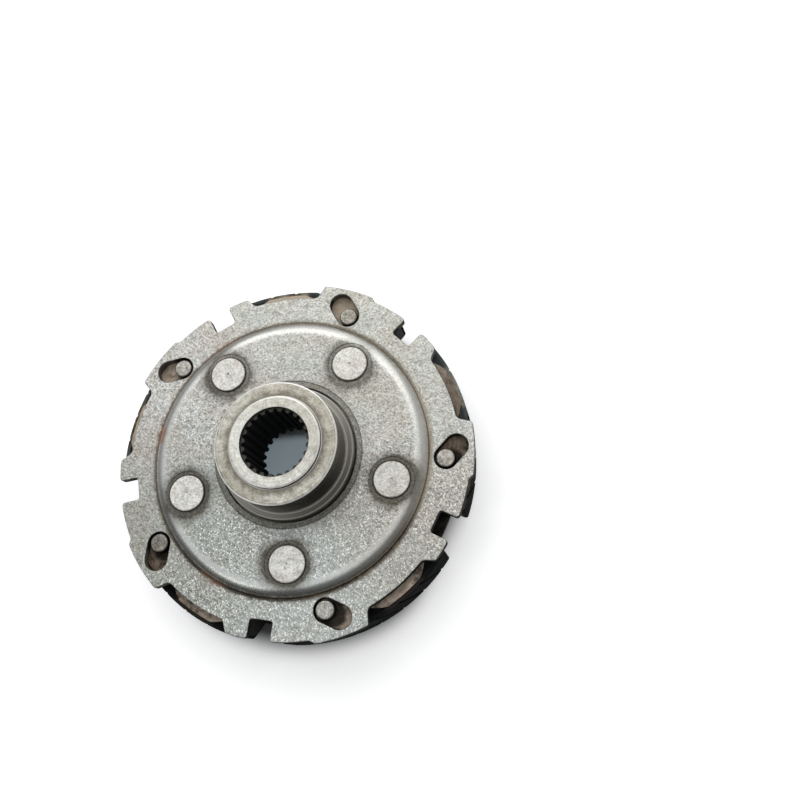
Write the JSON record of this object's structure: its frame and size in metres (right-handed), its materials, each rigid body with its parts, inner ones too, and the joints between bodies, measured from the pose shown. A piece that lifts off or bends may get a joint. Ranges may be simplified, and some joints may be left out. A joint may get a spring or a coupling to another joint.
{
  "type": "centrifugal clutch",
  "caption": "Wet centrifugal clutch: a splined hub riveted to a pressed drive plate, with lined weights that swing out on posts against springs.",
  "frame": {"origin": "on the hub's axis, at the plane of the post tails that the clutch rests on", "axes": "+Z along the hub's axis towards its nose; a pivot post lies at -90 degrees from +X and the others every 72 degrees from it"},
  "size_m": [0.1313, 0.1307, 0.0443],
  "materials": {
    "plate_steel": "rough blasted grey, stained brown round the dish",
    "hub_steel": "ground, dull",
    "post_steel": "dull, slightly rough",
    "side_steel": "dark, oiled",
    "weight_iron": "brown, oil stained",
    "friction_lining": "matte black moulded lining",
    "spring_steel": "dark spring steel"
  },
  "bodies": {
    "hub_assembly": {"drive_plate": "plate_steel", "splined_hub": "hub_steel", "side_plate": "side_steel", "pivot_post_1": "post_steel", "pivot_post_2": "post_steel", "pivot_post_3": "post_steel", "pivot_post_4": "post_steel", "pivot_post_5": "post_steel", "retaining_ring_1": "side_steel", "retaining_ring_2": "side_steel", "retaining_ring_3": "side_steel", "retaining_ring_4": "side_steel", "retaining_ring_5": "side_steel"},
    "shoe_1": {"weight_1": "weight_iron", "lining_1": "friction_lining", "guide_pin_1": "post_steel", "return_spring_1": "spring_steel"},
    "shoe_2": {"weight_2": "weight_iron", "lining_2": "friction_lining", "guide_pin_2": "post_steel", "return_spring_2": "spring_steel"},
    "shoe_3": {"weight_3": "weight_iron", "lining_3": "friction_lining", "guide_pin_3": "post_steel", "return_spring_3": "spring_steel"},
    "shoe_4": {"weight_4": "weight_iron", "lining_4": "friction_lining", "guide_pin_4": "post_steel", "return_spring_4": "spring_steel"},
    "shoe_5": {"weight_5": "weight_iron", "lining_5": "friction_lining", "guide_pin_5": "post_steel", "return_spring_5": "spring_steel"}
  },
  "joints": [
    {"name": "shoe_1_swing", "type": "hinge", "parent": "hub_assembly", "child": "shoe_1", "pos_m": [0.03709, -0.01205, 0.0132], "axis": [0, 0, 1], "range_deg": [0, 7], "stiffness_Nm_per_rad": 20, "springref_deg": -3.15, "deforming": ["return_spring_1"]},
    {"name": "shoe_2_swing", "type": "hinge", "parent": "hub_assembly", "child": "shoe_2", "pos_m": [0.02292, 0.03155, 0.0132], "axis": [0, 0, 1], "range_deg": [0, 7], "stiffness_Nm_per_rad": 20, "springref_deg": -3.15, "deforming": ["return_spring_2"]},
    {"name": "shoe_3_swing", "type": "hinge", "parent": "hub_assembly", "child": "shoe_3", "pos_m": [-0.02292, 0.03155, 0.0132], "axis": [0, 0, 1], "range_deg": [0, 7], "stiffness_Nm_per_rad": 20, "springref_deg": -3.15, "deforming": ["return_spring_3"]},
    {"name": "shoe_4_swing", "type": "hinge", "parent": "hub_assembly", "child": "shoe_4", "pos_m": [-0.03709, -0.01205, 0.0132], "axis": [0, 0, 1], "range_deg": [0, 7], "stiffness_Nm_per_rad": 20, "springref_deg": -3.15, "deforming": ["return_spring_4"]},
    {"name": "shoe_5_swing", "type": "hinge", "parent": "hub_assembly", "child": "shoe_5", "pos_m": [0, -0.039, 0.0132], "axis": [0, 0, 1], "range_deg": [0, 7], "stiffness_Nm_per_rad": 20, "springref_deg": -3.15, "deforming": ["return_spring_5"]}
  ]
}
